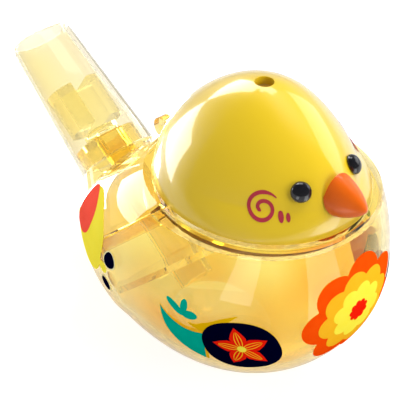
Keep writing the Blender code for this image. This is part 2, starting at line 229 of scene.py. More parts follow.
# Camera: fitted to the photograph. It stands in front of the bird, to its right, and looks
# down on it through a long lens.
CAMERA_RIGHT = (0.65015, 0.75981, 0.0)
CAMERA_UP = (-0.45527, 0.38956, 0.80060)
CAMERA_BACK = (0.60831, -0.52051, 0.59920)
CAMERA_PLACE = (0.1866, -0.1691, 0.2247)
camera = bpy.data.cameras.new("camera")
camera.lens = 128.7
camera.sensor_width = 36
viewer = bpy.data.objects.new("camera", camera)
bpy.context.scene.collection.objects.link(viewer)
rows = zip(CAMERA_RIGHT, CAMERA_UP, CAMERA_BACK, CAMERA_PLACE)
viewer.matrix_world = Matrix((*rows, (0, 0, 0, 1)))
bpy.context.scene.camera = viewer
bpy.context.scene.view_settings.view_transform = "Standard"


# Floor: a large plain sheet. The camera sees it as plain white, and gloss and clear plastic see
# it as pale. A reflection that was thrown about inside clear plastic counts as light that
# comes through it.
FLOOR_HALF = 3.0
AFTER_TWO_BOUNCES = 2.5
floor_paint = material("white_floor")
mirrored_there = floor_paint.ray("Is Glossy Ray")
from_within = mirrored_there * (floor_paint.ray("Ray Depth") > AFTER_TWO_BOUNCES)
through = floor_paint.ray("Is Transmission Ray").max(0.6 * mirrored_there).max(from_within)
strength = (0.80 * floor_paint.ray("Is Camera Ray")).max(0.60 * through)
matt = floor_paint.node("BsdfDiffuse", inputs={"Color": (0.40, 0.40, 0.40, 1)})
glow = floor_paint.node("Emission", inputs={"Color": (1, 1, 1, 1), "Strength": strength})
floor_paint.done(floor_paint.node("AddShader", inputs={0: matt, 1: glow}))
floor_mesh = bpy.data.meshes.new("floor")
floor_corners = [(x * FLOOR_HALF, y * FLOOR_HALF, 0) for x, y in ((-1, -1), (1, -1), (1, 1), (-1, 1))]
floor_mesh.from_pydata(floor_corners, [], [(0, 1, 2, 3)])
floor = placed("floor", floor_mesh, floor_paint.owner)

# Backdrop: white to the camera and through clear plastic, and dim in reflections, so that gloss
# shows its colour between the cards. It is less dim beyond the bird, where edges mirror it.
BEYOND_X, BEYOND_Y = -0.76, 0.65
world = bpy.data.worlds.new("studio")
bpy.context.scene.world = world
sky = Paint(world)
way = sky.node("TexCoord", output=0)
x, y, up = (sky.node("SeparateXYZ", inputs={0: way}, output=axis) for axis in range(3))
beyond = (BEYOND_Y * y + BEYOND_X * x).max(0.0)
dim = 1.0 - 0.75 * up.held()
gloss = sky.ray("Is Glossy Ray")
within = gloss * (sky.ray("Ray Depth") > AFTER_TWO_BOUNCES)
seen = sky.ray("Is Camera Ray").max(sky.ray("Is Transmission Ray"))
mirrored_sky = gloss * dim * (0.18 + 0.55 * beyond)
lighting = (1.0 - gloss) * 0.27
strength = seen + (1.0 - seen) * (0.8 * within).max(mirrored_sky + lighting)
sky.done(
    sky.node("Background", inputs={"Color": (1, 1, 1, 1), "Strength": strength}),
    "ShaderNodeOutputWorld",
)


# Lamps: soft boxes round the bird light it, and glowing cards show only in its gloss, where
# the photograph shows bright windows.
MIDDLE = (0, 0, 0.035)
CARD_FAR = 0.30
CARD_NEAR_FLOOR = 0.034
CARD_ROWS = 24


def soft_box(name, place, size, power):
    """A rectangular lamp that faces the bird's middle and shows in no reflection."""
    lamp = bpy.data.lights.new(name, "AREA")
    lamp.shape = "RECTANGLE"
    lamp.size, lamp.size_y = size
    lamp.energy = power
    holder = bpy.data.objects.new(name, lamp)
    bpy.context.scene.collection.objects.link(holder)
    holder.location = place
    holder.rotation_mode = "QUATERNION"
    holder.rotation_quaternion = (Vector(MIDDLE) - Vector(place)).to_track_quat("-Z", "Y")
    holder.visible_glossy = False
    holder.visible_transmission = False


def card(name, azimuths, elevations, strength):
    """A glowing patch of a sphere round the bird, between azimuths and elevations in degrees.
    Where the sphere is under the floor, the patch lies just over the floor."""
    azimuth = np.radians(np.linspace(*azimuths, CARD_ROWS))[None]
    elevation = np.radians(np.linspace(*elevations, CARD_ROWS))[:, None]
    to_floor = CARD_NEAR_FLOOR / np.maximum(-np.sin(elevation), 1e-6)
    reach = np.where(elevation < 0, np.minimum(CARD_FAR, to_floor), CARD_FAR)
    points = np.stack(
        [
            reach * np.cos(elevation) * np.sin(azimuth),
            -reach * np.cos(elevation) * np.cos(azimuth),
            MIDDLE[2] + reach * np.sin(elevation) + 0 * azimuth,
        ],
        axis=-1,
    )
    first = (np.arange(CARD_ROWS - 1)[:, None] * CARD_ROWS + np.arange(CARD_ROWS - 1)).reshape(-1, 1)
    faces = (first + np.array((0, 1, CARD_ROWS + 1, CARD_ROWS))).tolist()
    mesh = bpy.data.meshes.new(name)
    mesh.from_pydata(points.reshape(-1, 3), [], faces)
    paint = material(name)
    paint.done(paint.node("Emission", inputs={"Color": (1, 1, 1, 1), "Strength": strength}))
    obj = placed(name, mesh, paint.owner)
    obj.visible_camera = False
    obj.visible_diffuse = False
    obj.visible_transmission = False
    obj.visible_shadow = False


soft_box("lamp_over", (0.05, 0.30, 0.65), (0.5, 0.5), 5.0)
soft_box("lamp_front", (0.65, 0.15, 0.30), (0.4, 0.4), 3.2)
soft_box("lamp_left", (-0.5, -0.35, 0.20), (0.4, 0.4), 1.6)
soft_box("lamp_side", (0.10, -0.65, 0.08), (0.4, 0.3), 1.0)
card("card_low_left", (-116, -74), (-31, -11), 8)
card("card_left", (-90, -52), (-6, 20), 7)
card("card_over", (-116, -90), (20, 64), 7)
card("card_zenith", (-170, -112), (58, 74), 5)
card("card_back", (142, 190), (10, 40), 2.0)
card("card_strip_front", (21, 41), (-21, -3), 3)
card("card_strip_right", (80, 107), (-27, -3), 3)


# Clear plastic: polished, amber for the body and straw for the mouthpiece. It runs between a
# pale and a deep tint in broad patches, is greyer where it is seen edge on, which is painted
# shade for the dim surroundings its edges mirror, and is faintly wavy as moulded.
AFTER_FIVE_BOUNCES = 5.5
AFTER_ONE_MIRRORING = 1.5


def clear_plastic(name, tint, deep, edge, rough, gloss, rim=0.30):
    """Tint and deep are the colours of its patches, and edge is painted shade at its rim, for the
    dim surroundings that the rim mirrors. What goes straight on through it takes one pale
    colour, halfway from their mean to white."""
    paint = material(name)
    uneven = paint.ripple(90, 3)
    broad = paint.ripple(28, 1)
    body = paint.mixed((broad * 7.0 - 3.0).held(), tint, deep)
    # Painted shade: the colour turns to edge where the plastic is seen edge on, for the dim
    # surroundings mirrored there.
    painted_edge_shade = paint.node("LayerWeight", inputs={"Blend": rim}, output=1)
    body = paint.mixed(painted_edge_shade.held(), body, edge)
    wave = paint.bump(paint.ripple(160, 1), 0.10, 0.0002)
    plastic = paint.node(
        "BsdfPrincipled",
        inputs={
            "Base Color": body,
            "Roughness": rough + 0.02 * uneven,
            "IOR": 1.18 + 0.12 * gloss,
            "Transmission Weight": 1.0,
            "Coat Weight": gloss,
            "Coat Roughness": 0.01,
            "Normal": wave,
        },
    )
    pale = tuple(sum(tints) / 6 + 0.5 for tints in zip(tint, deep, edge))
    veil = paint.node("BsdfTransparent", inputs={"Color": pale})
    # Light that was thrown about inside for long goes straight on, so that no edge turns black.
    late = paint.ray("Ray Depth") > AFTER_FIVE_BOUNCES
    long = late.max(paint.ray("Glossy Depth") > AFTER_ONE_MIRRORING)
    passes = paint.ray("Is Shadow Ray").max(paint.ray("Is Diffuse Ray")).max(long)
    return paint.done(paint.node("MixShader", inputs={0: passes, 1: plastic, 2: veil}))


# The edge colours below are painted shade at the rims, for dim surroundings mirrored there.
amber = clear_plastic(
    "amber_plastic",
    tint=(0.995, 0.91, 0.39, 1),
    deep=(0.975, 0.67, 0.08, 1),
    edge=(0.92, 0.79, 0.50, 1),
    rough=0.01,
    gloss=0.7,
)
cap_amber = clear_plastic(
    "cap_amber",
    tint=(0.985, 0.80, 0.26, 1),
    deep=(0.96, 0.73, 0.20, 1),
    edge=(0.90, 0.74, 0.42, 1),
    rough=0.01,
    gloss=0.5,
)
straw = clear_plastic(
    "straw_plastic",
    tint=(0.985, 0.945, 0.76, 1),
    deep=(0.97, 0.90, 0.58, 1),
    edge=(0.80, 0.71, 0.58, 1),
    rough=0.02,
    gloss=0.15,
    rim=0.52,
)

# Body: an egg of clear amber plastic, moulded in two and joined along a slanting seam. These
# values and shapes serve the bowl, the rear cap and the prints, and are those of the CAD.
FIT = 0.0003
OVER = 0.001
RIM_X, RIM_Z = 0.0090, 0.0480
EGG_X, EGG_Z = 0.0007, 0.02875
EGG_FRONT, EGG_REAR, EGG_HALF_WIDTH, EGG_DEPTH = 0.0370, 0.0393, 0.0288, 0.03005
EGG_POWER, EGG_LEAN, BACK_POWER = 2.16, 0.067, 1.12
NEAR_BOTTOM = 0.99
WING_BACK, WING_UP, WING_LONG, WING_HIGH = 0.0195, 0.0205, 0.0165, 0.0150
WING_RISE, WING_SOFT = 0.020, 0.30
WALL, FLOOR = 0.0016, 0.0018
HEAD_LONG, HEAD_WIDE, HEAD_HIGH, HEAD_WALL = 0.0244, 0.0220, 0.0235, 0.0018
LIP, SEAT_DEEP, LEDGE, LEDGE_THICK = 0.0012, 0.0020, 0.0018, 0.0015
SEAM_POINT = Vector((0.0046, 0, RIM_Z))
SEAM_PITCH = math.radians(44)
SEAM_DOWN = Vector((-math.cos(SEAM_PITCH), 0, -math.sin(SEAM_PITCH)))
SEAM_OUT = Vector((-math.sin(SEAM_PITCH), 0, math.cos(SEAM_PITCH)))
STEP_BELOW, STEP_ABOVE = 0.0030, 0.0015
PAST_BODY, SLAB_HALF = 0.08, 0.12
LEDGE_LEVEL = (RIM_Z - SEAT_DEEP - LEDGE_THICK - EGG_Z) / (RIM_Z - EGG_Z)
STEP_LEVEL = LEDGE_LEVEL - 2 * FIT / (RIM_Z - EGG_Z)
AROUND, LEVELS = 160, 40
TURNS = np.linspace(0, 2 * math.pi, AROUND, endpoint=False)


def quarter(share, power):
    """Height of a superellipse's quarter over a share of its length."""
    return np.clip(1 - share**power, 0, 1) ** (1 / power)


def body_point(level, turn, inset=0.0):
    """Egg: level -1 is the bottom, 0 the widest and 1 the rim. Sections are superellipses of
    power 2.16, which shrink as (1 - |level|^n)^(1/n) below, and ease with 1 - level^2 to the
    rim's oval above. A soft swell on each side is the folded wing."""
    low = np.minimum(level, 0.0)
    high = np.maximum(level, 0.0)
    rim_front = RIM_X + HEAD_LONG + FIT + LIP
    rim_rear = RIM_X - HEAD_LONG - FIT - LIP
    rim_wide = HEAD_WIDE + FIT + LIP
    ease = 1 - high**2
    centre = EGG_X + (RIM_X - EGG_X) * high**2
    front = rim_front + (EGG_X + EGG_FRONT - rim_front) * ease - centre
    rear = centre - rim_rear - (EGG_X - EGG_REAR - rim_rear) * quarter(high, BACK_POWER)
    wide = rim_wide + (EGG_HALF_WIDTH - rim_wide) * ease
    shrink = quarter(-low, EGG_POWER)
    x, y = oval(1, 1, EGG_POWER, turn)
    x = np.where(x > 0, front - inset, rear - inset) * x * shrink
    y = (wide - inset) * y * shrink
    z = EGG_Z + low * (EGG_DEPTH - inset) + high * (RIM_Z - EGG_Z) + EGG_LEAN * x * ease
    away = np.hypot((x + centre + WING_BACK) / WING_LONG, (z - WING_UP) / WING_HIGH)
    wing = np.clip((1 - away) / WING_SOFT, 0, 1)
    outward = np.clip(np.abs(y) / EGG_HALF_WIDTH * 2, 0, 1)
    swell = 1 + WING_RISE * wing**2 * (3 - 2 * wing) * outward
    return np.stack([centre + x * swell, y * swell, z], axis=-1)


def body_solid(name, inset, bottom, top=1.0):
    """The egg less an inset, cut flat at a bottom height."""
    lower = -np.sin(np.linspace(1, 0, LEVELS) * math.pi / 2 * NEAR_BOTTOM)
    levels = np.concatenate([lower, np.linspace(0, top, LEVELS)[1:]])
    obj = loft(name, body_point(levels[:, None], TURNS[None], inset))
    cut = bmesh.new()
    cut.from_mesh(obj.data)
    parts = cut.verts[:] + cut.edges[:] + cut.faces[:]
    plane = {"plane_co": (0, 0, bottom), "plane_no": (0, 0, -1)}
    bmesh.ops.bisect_plane(cut, geom=parts, clear_outer=True, **plane)
    bmesh.ops.edgeloop_fill(cut, edges=[edge for edge in cut.edges if edge.is_boundary])
    bmesh.ops.recalc_face_normals(cut, faces=cut.faces)
    cut.to_mesh(obj.data)
    cut.free()
    return obj


def slab(name, low, high):
    """The space between two planes parallel to the seam."""
    along = np.array(SEAM_DOWN) * SLAB_HALF
    across = np.array((0, SLAB_HALF, 0))
    signs = ((-1, -1), (1, -1), (1, 1), (-1, 1))
    corners = np.array([np.array(SEAM_POINT) + a * along + b * across for a, b in signs])
    return loft(name, [corners + np.array(SEAM_OUT) * height for height in (low, high)])


def seat_cutter(name):
    """The pocket that the head drops into, with the way through its ledge."""
    ledge_z = RIM_Z - SEAT_DEEP
    below_z = ledge_z - LEDGE_THICK - OVER
    rings = []
    for height, grow in ((below_z, -LEDGE), (ledge_z, -LEDGE), (ledge_z, FIT), (RIM_Z + OVER, FIT)):
        x, y = oval(HEAD_LONG + grow, HEAD_WIDE + grow, 2, TURNS)
        rings.append(np.stack([RIM_X + x, y, 0 * x + height], axis=-1))
    return loft(name, rings)


# Line of the voice: neck, mouthpiece, windway and whistle tube follow it, backwards and up out of
# the body. Sections across it are superellipses.
MOUTH_PITCH = math.radians(33.6)
MOUTH_OUT = np.array((-math.cos(MOUTH_PITCH), 0, math.sin(MOUTH_PITCH)))
MOUTH_UP = np.array((math.sin(MOUTH_PITCH), 0, math.cos(MOUTH_PITCH)))
MOUTH_POINT = np.array((-0.0416, 0, 0.0252))
MOUTH_LONG, MOUTH_WALL, MOUTH_ROUND, MOUTH_POWER = 0.0363, 0.0016, 0.0011, 2.5
MOUTH_BASE, MOUTH_TIP = (0.01005, 0.00785), (0.0080, 0.0056)
NECK_SPIGOT, NECK_DEEP = 0.0055, 0.0200
NECK_FLARE, NECK_FLARE_LONG = 0.0030, 0.0065
TUBE_HALF_WIDE, TUBE_HALF_HIGH, TUBE_POWER, TUBE_DOWN = 0.00375, 0.0035, 5, 0.0352


def mouth_ring(along, half_wide, half_high, power=MOUTH_POWER):
    """A section across the mouthpiece's line, at a distance outwards from its base."""
    across, rise = oval(half_wide, half_high, power, TURNS)
    centre = MOUTH_POINT + MOUTH_OUT * along
    return centre + across[:, None] * np.array((0, 1, 0)) + rise[:, None] * MOUTH_UP


def mouth_size(along, inset):
    """Half width and half height of the tapered tube, less an inset."""
    halves = zip(MOUTH_BASE, MOUTH_TIP)
    return [base + (tip - base) * along / MOUTH_LONG - inset for base, tip in halves]


def neck_solid(name):
    """The neck behind the mouthpiece's base: it flares sideways, and keeps its height."""
    wide, high = [half + FIT for half in MOUTH_BASE]
    rings = [
        mouth_ring(-FIT - NECK_FLARE_LONG * share, wide + NECK_FLARE * share, high)
        for share in np.linspace(0, 1, 9)
    ]
    return loft(name, rings + [mouth_ring(-NECK_DEEP, wide + NECK_FLARE, high)])


def rod(name, radius, start, end, count=40):
    """A round rod between two points."""
    along = Vector(end) - Vector(start)
    side = along.cross(Vector((0, 1, 0)))
    side = side.normalized() if side.length > 1e-9 else Vector((1, 0, 0))
    other = along.normalized().cross(side)
    x, y = oval(radius, radius, 2, np.linspace(0, 2 * math.pi, count, endpoint=False))
    ring = x[:, None] * np.array(side) + y[:, None] * np.array(other)
    return loft(name, [ring + np.array(start), ring + np.array(end)])


# Bowl: the front and lower half, with a flat foot, half of the neck and most of the head's seat.
# Clear amber plastic, injection moulded, open at the seam where the rear cap is joined on.
bowl = combined(
    body_solid("bowl_shell", 0, 0),
    [
        ("UNION", neck_solid("bowl_neck")),
        ("DIFFERENCE", body_solid("bowl_hollow", WALL, FLOOR, LEDGE_LEVEL)),
        ("DIFFERENCE", seat_cutter("bowl_seat")),
        ("DIFFERENCE", slab("bowl_seam", -FIT / 2, PAST_BODY)),
    ],
)
painted(bowl, amber)
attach(bowl, "root")
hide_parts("bowl")

# Rear cap: the upper back, with the spigot that holds the mouthpiece and a lug for a cord. Clear
# amber plastic, injection moulded. A step inside its edge locates it in the bowl.
STEP_THICK = 0.001
LUG_RADIUS, LUG_HOLE = 0.0025, 0.0009
step = combined(
    body_solid("cap_step", WALL + FIT, FLOOR + FIT, STEP_LEVEL),
    [("INTERSECT", slab("step_band", -STEP_BELOW, STEP_ABOVE))],
)
inner = combined(
    body_solid("cap_inner", WALL + FIT + STEP_THICK, FLOOR + 2 * FIT, STEP_LEVEL),
    [("DIFFERENCE", slab("over_step", STEP_ABOVE, PAST_BODY))],
)
hollow = combined(
    body_solid("cap_hollow", WALL, FLOOR, LEDGE_LEVEL),
    [("DIFFERENCE", slab("under_step", -PAST_BODY, STEP_ABOVE - FIT))],
)
spigot_size = mouth_size(NECK_SPIGOT, MOUTH_WALL + FIT)
spigot = [mouth_ring(along, *spigot_size) for along in (-OVER, NECK_SPIGOT)]
lug_centre = Vector((-0.0232, 0, 0.0440))
lug_across = Vector((0, 0.0012, 0))
lug_ends = (lug_centre - lug_across, lug_centre + lug_across)
hole_ends = (lug_centre - 2 * lug_across, lug_centre + 2 * lug_across)
bore_size = (TUBE_HALF_WIDE + FIT, TUBE_HALF_HIGH + FIT, TUBE_POWER)
bore = [mouth_ring(along, *bore_size) for along in (-TUBE_DOWN, NECK_SPIGOT + OVER)]
cap = combined(
    body_solid("rear_cap_shell", 0, 0),
    [
        ("UNION", neck_solid("cap_neck")),
        ("DIFFERENCE", seat_cutter("cap_seat")),
        ("DIFFERENCE", slab("cap_seam", -PAST_BODY, FIT / 2)),
        ("UNION", step),
        ("DIFFERENCE", hollow),
        ("DIFFERENCE", inner),
        ("UNION", loft("cap_spigot", spigot)),
        ("UNION", rod("cap_lug", LUG_RADIUS, *lug_ends)),
        ("DIFFERENCE", loft("cap_bore", bore)),
        ("DIFFERENCE", rod("cap_lug_hole", LUG_HOLE, *hole_ends)),
    ],
)
painted(cap, cap_amber)
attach(cap, "root")
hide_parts("rear_cap")

# Mouthpiece: a tapered tube with rounded lips, of pale clear plastic. It is moulded with the
# other clear pieces and pushed over the neck's spigot.
shoulder = MOUTH_LONG - MOUTH_ROUND
rings = [mouth_ring(along, *mouth_size(along, 0)) for along in np.linspace(0, shoulder, 24)]
for turn in np.linspace(0, math.pi, 10)[1:-1]:
    inset = MOUTH_WALL / 2 * (1 - math.cos(turn))
    rings.append(mouth_ring(shoulder + MOUTH_ROUND * math.sin(turn), *mouth_size(shoulder, inset)))
for along in np.linspace(shoulder, NECK_SPIGOT, 20):
    rings.append(mouth_ring(along, *mouth_size(along, MOUTH_WALL)))
rings.append(mouth_ring(0, *mouth_size(NECK_SPIGOT, MOUTH_WALL)))
mouthpiece = tube("mouthpiece_shell", rings, straw)
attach(mouthpiece, "root")
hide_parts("mouthpiece")

# Voice: windway block in the mouthpiece, whistle tube down into the water, and the baffle plate
# that holds the tube's lower end. Clear plastic inserts, which keep their CAD form.
# Its edge colour is painted shade at the rims, for dim surroundings mirrored there.
inner_amber = clear_plastic(
    "inner_amber",
    tint=(0.99, 0.92, 0.58, 1),
    deep=(0.98, 0.89, 0.50, 1),
    edge=(0.88, 0.79, 0.54, 1),
    rough=0.02,
    gloss=0.5,
)
for name in ("windway_block", "whistle_tube", "baffle_plate"):
    painted(nodes[name], inner_amber)


# Head: a hollow dome with a vent on top, of opaque glossy yellow plastic. It is moulded in one
# piece and dropped into the seat round the rim.
RISE_POWER, ROUND_POWER = 1.40, 1.70
FACE_POWER, NAPE_POWER = 1.60, 1.99
FACE_SWELL, HEAD_SWAY = 0.185, 0.0015
VENT = 0.0020
HEAD_ROWS = 72


def head_point(rise, turn, inset=0.0):
    """Dome: rise is 0 at its edge and 1 on top, and its rings shrink as
    (1 - rise^1.4)^(1/1.7). The face is longer half way up, and its sections are superellipses
    of a lower power than those of the nape. Both start and end as plain ovals."""
    share = (1 - rise**RISE_POWER) ** (1 / ROUND_POWER)
    halfway = 4 * rise * (1 - rise)
    face = np.cos(turn) > 0
    change = np.minimum(1, 4 * rise) * (1 - rise**5)
    power = 2 + (np.where(face, FACE_POWER, NAPE_POWER) - 2) * change
    x, y = oval((HEAD_LONG - inset) * share, (HEAD_WIDE - inset) * share, power, turn)
    x = x * np.where(face, 1 + FACE_SWELL * halfway, 1) - HEAD_SWAY * halfway
    return np.stack([RIM_X + x, y, RIM_Z + rise * (HEAD_HIGH - inset) + 0 * x], axis=-1)


def head_foot(inset):
    """The ring on which the head stands in its seat."""
    x, y = oval(HEAD_LONG - inset, HEAD_WIDE - inset, 2, TURNS)
    return np.stack([RIM_X + x, y, 0 * x + RIM_Z - SEAT_DEEP + FIT], axis=-1)


yellow_paint = material("yellow_gloss")
grain = yellow_paint.ripple(220, 2)
clouds = yellow_paint.ripple(45, 2)
yellow = yellow_paint.mixed(clouds, (0.77, 0.54, 0.014, 1), (0.73, 0.49, 0.010, 1))
yellow_gloss = yellow_paint.done(
    yellow_paint.node(
        "BsdfPrincipled",
        inputs={
            "Base Color": yellow,
            "Roughness": 0.28 + 0.06 * grain,
            "Coat Weight": 1.0,
            "Coat Roughness": 0.06,
            "Normal": yellow_paint.bump(grain, 0.05, 0.0002),
        },
    )
)
vent_rise = (1 - (VENT / HEAD_WIDE) ** ROUND_POWER) ** (1 / RISE_POWER)
quarter_turn = np.linspace(0, 1, HEAD_ROWS)[:-1] * math.pi / 2
rises = vent_rise * (1 - np.cos(quarter_turn) ** 2.2)
rings = [head_foot(0)] + [head_point(rise, TURNS) for rise in rises]
vent_x, vent_y = oval(VENT, VENT, 2, TURNS)
for inset in (0, HEAD_WALL):
    height = head_point(vent_rise, TURNS, inset)[:, 2]
    rings.append(np.stack([RIM_X + vent_x, vent_y, height], axis=-1))
rings += [head_point(rise, TURNS, HEAD_WALL) for rise in rises[::-1]]
rings.append(head_foot(HEAD_WALL))
head = tube("head_shell", rings, yellow_gloss, sharp=50)
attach(head, "root")
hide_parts("head_dome")


# Prints: satin inks, pressed sideways onto the clear body and the head by soft pads. Each colour
# is a thin closed film over the skin, and lies a little above the colour under it.
INK = 0.00003
LAYER = 0.00005
HUB = 0.02
THINNEST = 0.04
CURL_WIDE, CURL_FLAT = 0.72, 0.86


def head_skin(height, turn):
    """Point of the head at a height over its edge."""
    return head_point(np.clip(height / HEAD_HIGH, 0, 1), turn)


def body_skin(height, turn):
    """Point of the body at a height over its widest level."""
    return body_point(np.where(height < 0, height / EGG_DEPTH, height / (RIM_Z - EGG_Z)), turn)


def crossed(first, second):
    """Cross product of flat vectors."""
    return first[..., 0] * second[..., 1] - first[..., 1] * second[..., 0]


def pressed(skin, facing, flat, lift):
    """Points and normals where the pad that faces an azimuth meets the skin. Flat holds
    (sideways, height) in mm, for which Newton's method finds the skin's own height and turn."""
    side = np.array((-math.sin(facing), math.cos(facing), 0))
    wanted = np.asarray(flat) / 1000
    turn = facing + 0 * wanted[..., 0]
    height = wanted[..., 1] - (RIM_Z if skin is head_skin else EGG_Z)
    step = 1e-5

    def flattened(height, turn):
        point = skin(height, turn)
        return np.stack([point @ side, point[..., 2]], axis=-1)

    for _ in range(9):
        here = flattened(height, turn)
        by_height = (flattened(height + step, turn) - here) / step
        by_turn = (flattened(height, turn + step) - here) / step
        miss = wanted - here
        scale = crossed(by_height, by_turn)
        height = height + crossed(miss, by_turn) / scale
        turn = turn + crossed(by_height, miss) / scale
    point = skin(height, turn)
    normal = np.cross(skin(height, turn + step) - point, skin(height + step, turn) - point)
    normal /= np.linalg.norm(normal, axis=-1, keepdims=True)
    return point + lift * normal, normal


def film(name, drawn, place, lift, paint, mirrored=False):
    """A closed film over the skin from a grid of flat points. The columns of a disc's grid close
    on themselves, and its first row is a small ring, which a flat face fills."""
    grid, closed = drawn
    skin, facing = place
    rows, columns = grid.shape[:2]
    size = rows * columns
    low, normal = pressed(skin, facing, grid, lift)
    points = np.stack([low + INK * normal, low]).reshape(-1, 3)
    if mirrored:
        points = points * (1, -1, 1)
    index = np.arange(size).reshape(rows, columns)
    if closed:
        column = np.arange(columns)
        rim = index[-1, ::-1]
        hubs = [index[0][::-1].tolist(), (index[0] + size).tolist()]
    else:
        column = np.arange(columns - 1)
        rim = np.concatenate([index[0], index[1:, -1], index[-1, -2::-1], index[-2:0:-1, 0]])
        hubs = []
    after = (column + 1) % columns
    corners = (index[:-1, column], index[:-1, after], index[1:, after], index[1:, column])
    top = np.stack(corners, -1).reshape(-1, 4)
    bottom = top[:, ::-1] + size
    onward = np.roll(rim, -1)
    wall = np.stack([rim, onward, onward + size, rim + size], -1)
    faces = np.concatenate([top, bottom, wall]).tolist() + hubs
    return shape(name, points, faces, paint)


def petals(centre, radius, count, deep, turned, steps=180):
    """A flower's outline: lobes as |cos| between cusps, as rings from its centre out."""
    angle = np.linspace(0, 2 * math.pi, steps, endpoint=False)
    lobes = np.abs(np.cos(count / 2 * (angle - math.radians(turned)))) ** 0.8
    reach = radius * (1 - deep + deep * lobes)
    edge = np.stack([reach * np.cos(angle), reach * np.sin(angle)], axis=-1)
    return np.asarray(centre) + np.linspace(HUB, 1, 14)[:, None, None] * edge, True


def disc(centre, half, turned=0.0, power=2.0, steps=96):
    """A superellipse, as rings from its centre out."""
    a, b = oval(half[0], half[1], power, np.linspace(0, 2 * math.pi, steps, endpoint=False))
    c, s = math.cos(math.radians(turned)), math.sin(math.radians(turned))
    edge = np.stack([a * c - b * s, a * s + b * c], axis=-1)
    return np.asarray(centre) + np.linspace(HUB, 1, 10)[:, None, None] * edge, True


def band(curve, widths, across=5):
    """The strip of these widths along a curve."""
    way = np.gradient(curve, axis=0)
    way /= np.linalg.norm(way, axis=1, keepdims=True)
    left = np.stack([-way[:, 1], way[:, 0]], -1) * widths[:, None] / 2
    return curve[:, None] - np.linspace(-1, 1, across)[:, None] * left[:, None], False


def stroke(points, widths, steps=60, across=5):
    """A brush stroke along a smooth curve through a few points, with its width at each."""
    points = np.asarray(points, float)
    own = np.linspace(0, 1, len(points))
    along = np.linspace(0, 1, steps)
    fits = [np.polynomial.Polynomial.fit(own, line, len(points) - 1) for line in points.T]
    curve = np.stack([fit(along) for fit in fits], -1)
    return band(curve, np.maximum(np.interp(along, own, widths), THINNEST), across)


def spiral(centre, first, last, start, sweep, steps=110):
    """A curl that winds in: its radius falls evenly from first to last over its sweep."""
    along = np.linspace(0, 1, steps)
    angle = np.radians(start + sweep * along)
    radius = first + (last - first) * along
    offset = np.stack([radius * np.cos(angle), radius * CURL_FLAT * np.sin(angle)], -1)
    tapered = np.minimum(1, np.minimum(along * 9 + 0.3, (1 - along) * 12 + 0.35))
    return band(np.asarray(centre) + offset, CURL_WIDE * tapered)


def ink(name, first, second, scale=400):
    """Printing ink: satin, with a slight mottle between two near colours."""
    paint = material(name)
    mottle = paint.ripple(scale, 3)
    inputs = {
        "Base Color": paint.mixed(mottle, colour(*first), colour(*second)),
        "Roughness": 0.30 + 0.10 * mottle,
        "Specular IOR Level": 0.0,
        "Normal": paint.bump(mottle, 0.04, 0.0001),
    }
    paint.done(paint.node("BsdfPrincipled", inputs=inputs))
    return paint.owner


red = ink("ink_red", (250, 40, 20), (238, 30, 14))
coral = ink("ink_coral", (255, 88, 20), (250, 72, 8))
blush = ink("ink_blush", (255, 96, 80), (252, 84, 66))
gold = ink("ink_gold", (255, 190, 45), (252, 180, 34))
lemon = ink("ink_lemon", (255, 240, 80), (255, 234, 62))
teal = ink("ink_teal", (0, 180, 156), (0, 170, 146))
navy = ink("ink_navy", (4, 8, 40), (2, 5, 30))
mustard = ink("ink_mustard", (242, 190, 14), (236, 180, 8))
rose = ink("ink_rose", (172, 62, 72), (164, 54, 66))
cream = ink("ink_cream", (250, 240, 190), (246, 232, 176))
BREAST = (body_skin, math.radians(0))
FLANK = (body_skin, math.radians(-62))
REAR = (body_skin, math.radians(-128))
CHEEK = (head_skin, math.radians(-45))
front_only = (("breast", False),)
near_only, far_only = (("right", False),), (("left", True),)


def printed(name, drawn, place, layer, paint, sides=near_only + far_only):
    """A film for each side, of which the left one is the mirror image."""
    for side, mirrored in sides:
        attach(film(f"{name}_{side}", drawn, place, LAYER * layer, paint, mirrored), "root")


# Breast: a flower of four colours, printed on the front of the bowl from the widest petals up.
breast = (1.6, 28.6)
printed("flower_outer", petals(breast, 13.6, 7, 0.20, 82), BREAST, 1, coral, front_only)
printed("flower_middle", petals(breast, 10.2, 8, 0.17, 100), BREAST, 2, gold, front_only)
printed("flower_inner", petals(breast, 7.0, 8, 0.20, 78), BREAST, 3, lemon, front_only)
printed("flower_heart", petals(breast, 2.7, 9, 0.20, 60), BREAST, 4, red, front_only)

# Flank: a leaf that sweeps back from a dark oval with a five-petalled flower, and a sprig over
# it. Printed on both sides of the bowl in one design of plain ornaments.
leaf_edge = stroke([(-5.2, 28.4), (-2.2, 24.0), (1.7, 21.9), (6.2, 21.2)], (0, 5.0, 7.9, 10.2))
leaf = stroke([(-5.1, 28.1), (-2.4, 23.9), (1.2, 21.6), (5.4, 20.8)], (0, 3.8, 6.6, 8.9))
swoosh = stroke([(1.8, 27.0), (5.5, 27.1), (9.2, 29.6), (12.9, 32.3)], (0.1, 2.3, 1.8, 0.1))
printed("leaf_edge", leaf_edge, FLANK, 1, gold)
printed("leaf", leaf, FLANK, 2, teal)
printed("swoosh", swoosh, FLANK, 2, mustard)
printed("medallion", disc((13.3, 23.2), (8.2, 7.5), 14, 2.3), FLANK, 3, navy)
bloom = np.array((13.7, 23.3))
PETALS, FIRST_PETAL = 5, 105
PETAL_LONG, VEIN_LONG, VEIN_SPREAD = 6.2, 5.2, 0.75
